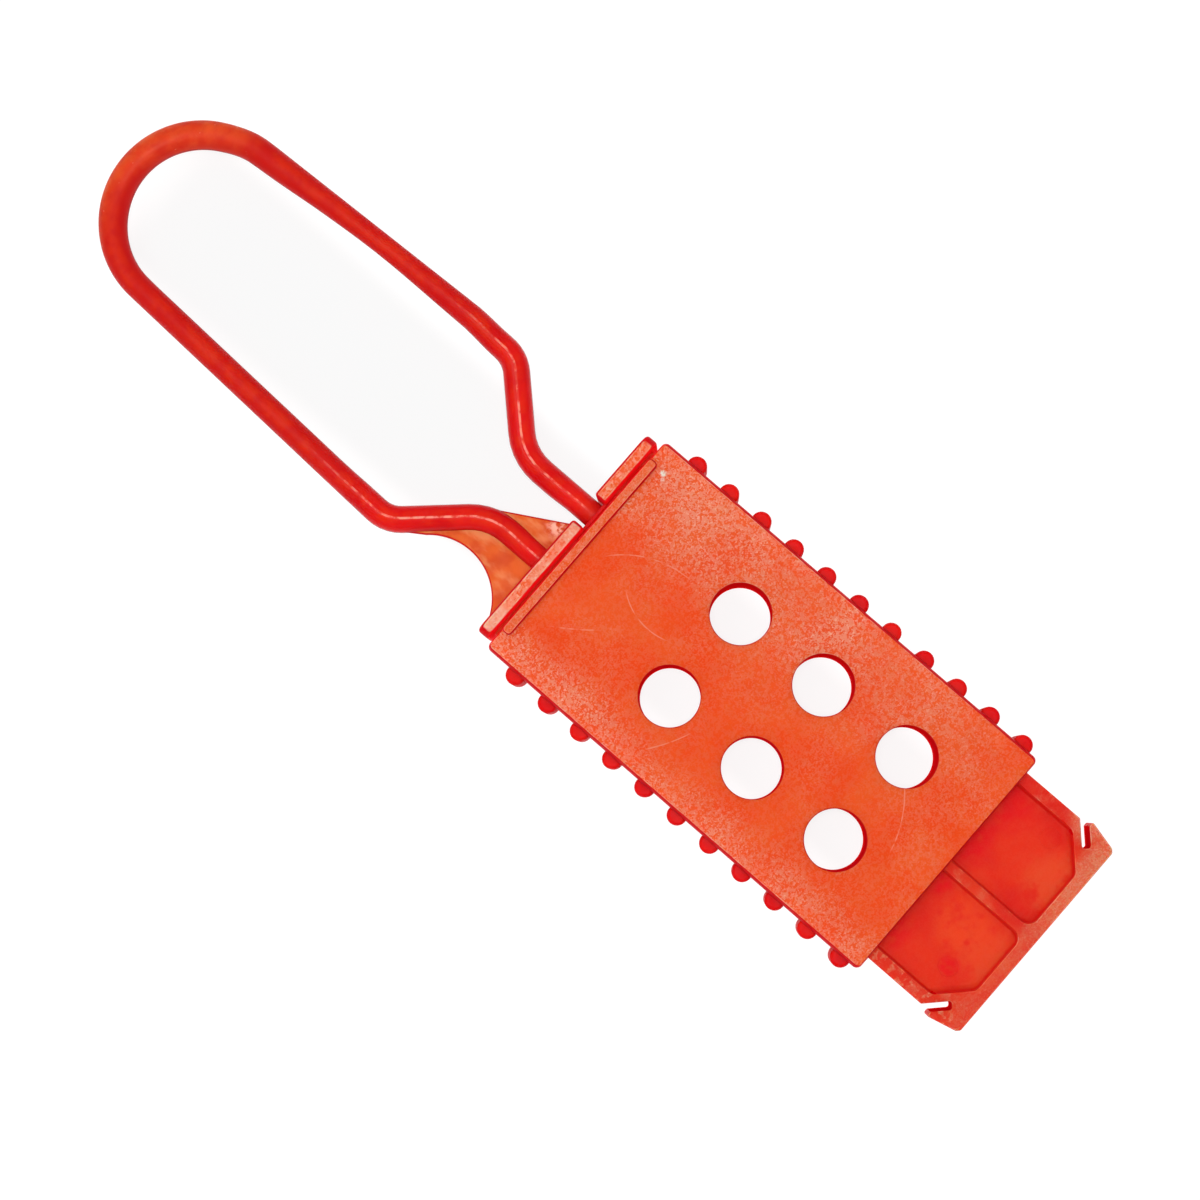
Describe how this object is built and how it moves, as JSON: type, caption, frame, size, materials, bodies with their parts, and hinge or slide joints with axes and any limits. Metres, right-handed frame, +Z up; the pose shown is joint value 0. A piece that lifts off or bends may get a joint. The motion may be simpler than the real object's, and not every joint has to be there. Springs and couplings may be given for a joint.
{
  "type": "lockout hasp",
  "caption": "Moulded nylon lockout hasp: a flat sleeve slides down a slider to free one leg of its wire-thin shackle loop; holes through the body take padlocks.",
  "frame": {"origin": "middle of the whole hasp's length and width, on the flat underside of the sleeve", "axes": "+X across the body from the fixed leg towards the free leg, +Y along the body towards the shackle's arch, +Z up out of the ribbed front face"},
  "size_m": [0.0428, 0.176, 0.01],
  "materials": {
    "sleeve_nylon": "fine spark-eroded texture, semi-matt",
    "side_nylon": "satin, smooth drafted sides",
    "slider_nylon": "satin",
    "shackle_nylon": "satin, faint parting line",
    "web_nylon": "thin and slightly translucent"
  },
  "bodies": {
    "slider": {"slider_floor": "slider_nylon", "hole_bosses": "slider_nylon", "left_rail": "slider_nylon", "right_rail": "slider_nylon", "middle_rib": "slider_nylon", "tail_bar": "slider_nylon", "left_barb": "slider_nylon", "right_barb": "slider_nylon", "left_flange": "slider_nylon", "right_flange": "slider_nylon", "foot_pocket": "slider_nylon", "leg_web": "web_nylon", "fixed_leg": "shackle_nylon", "fixed_arm": "shackle_nylon", "fixed_arch": "shackle_nylon"},
    "sleeve": {"sleeve_front_wall": "sleeve_nylon", "sleeve_back_wall": "sleeve_nylon", "sleeve_left_wall": "side_nylon", "sleeve_right_wall": "side_nylon", "sleeve_end_rib": "sleeve_nylon", "left_grip_beads": "side_nylon", "right_grip_beads": "side_nylon"},
    "free_side": {"free_arch": "shackle_nylon", "free_arm": "shackle_nylon", "free_leg": "shackle_nylon", "leg_foot": "shackle_nylon"}
  },
  "joints": [
    {"name": "sleeve_slide", "type": "slide", "parent": "slider", "child": "sleeve", "axis": [0, -1, 0], "range_m": [0, 0.0114]},
    {"name": "shackle_flex", "type": "hinge", "parent": "slider", "child": "free_side", "pos_m": [0, 0.0861, 0.0046], "axis": [-1, 0, 0], "range_deg": [0, 6]}
  ],
  "couplings": [
    {"joint": "shackle_flex", "follows": "sleeve_slide", "rad_per_m": 9.18}
  ]
}
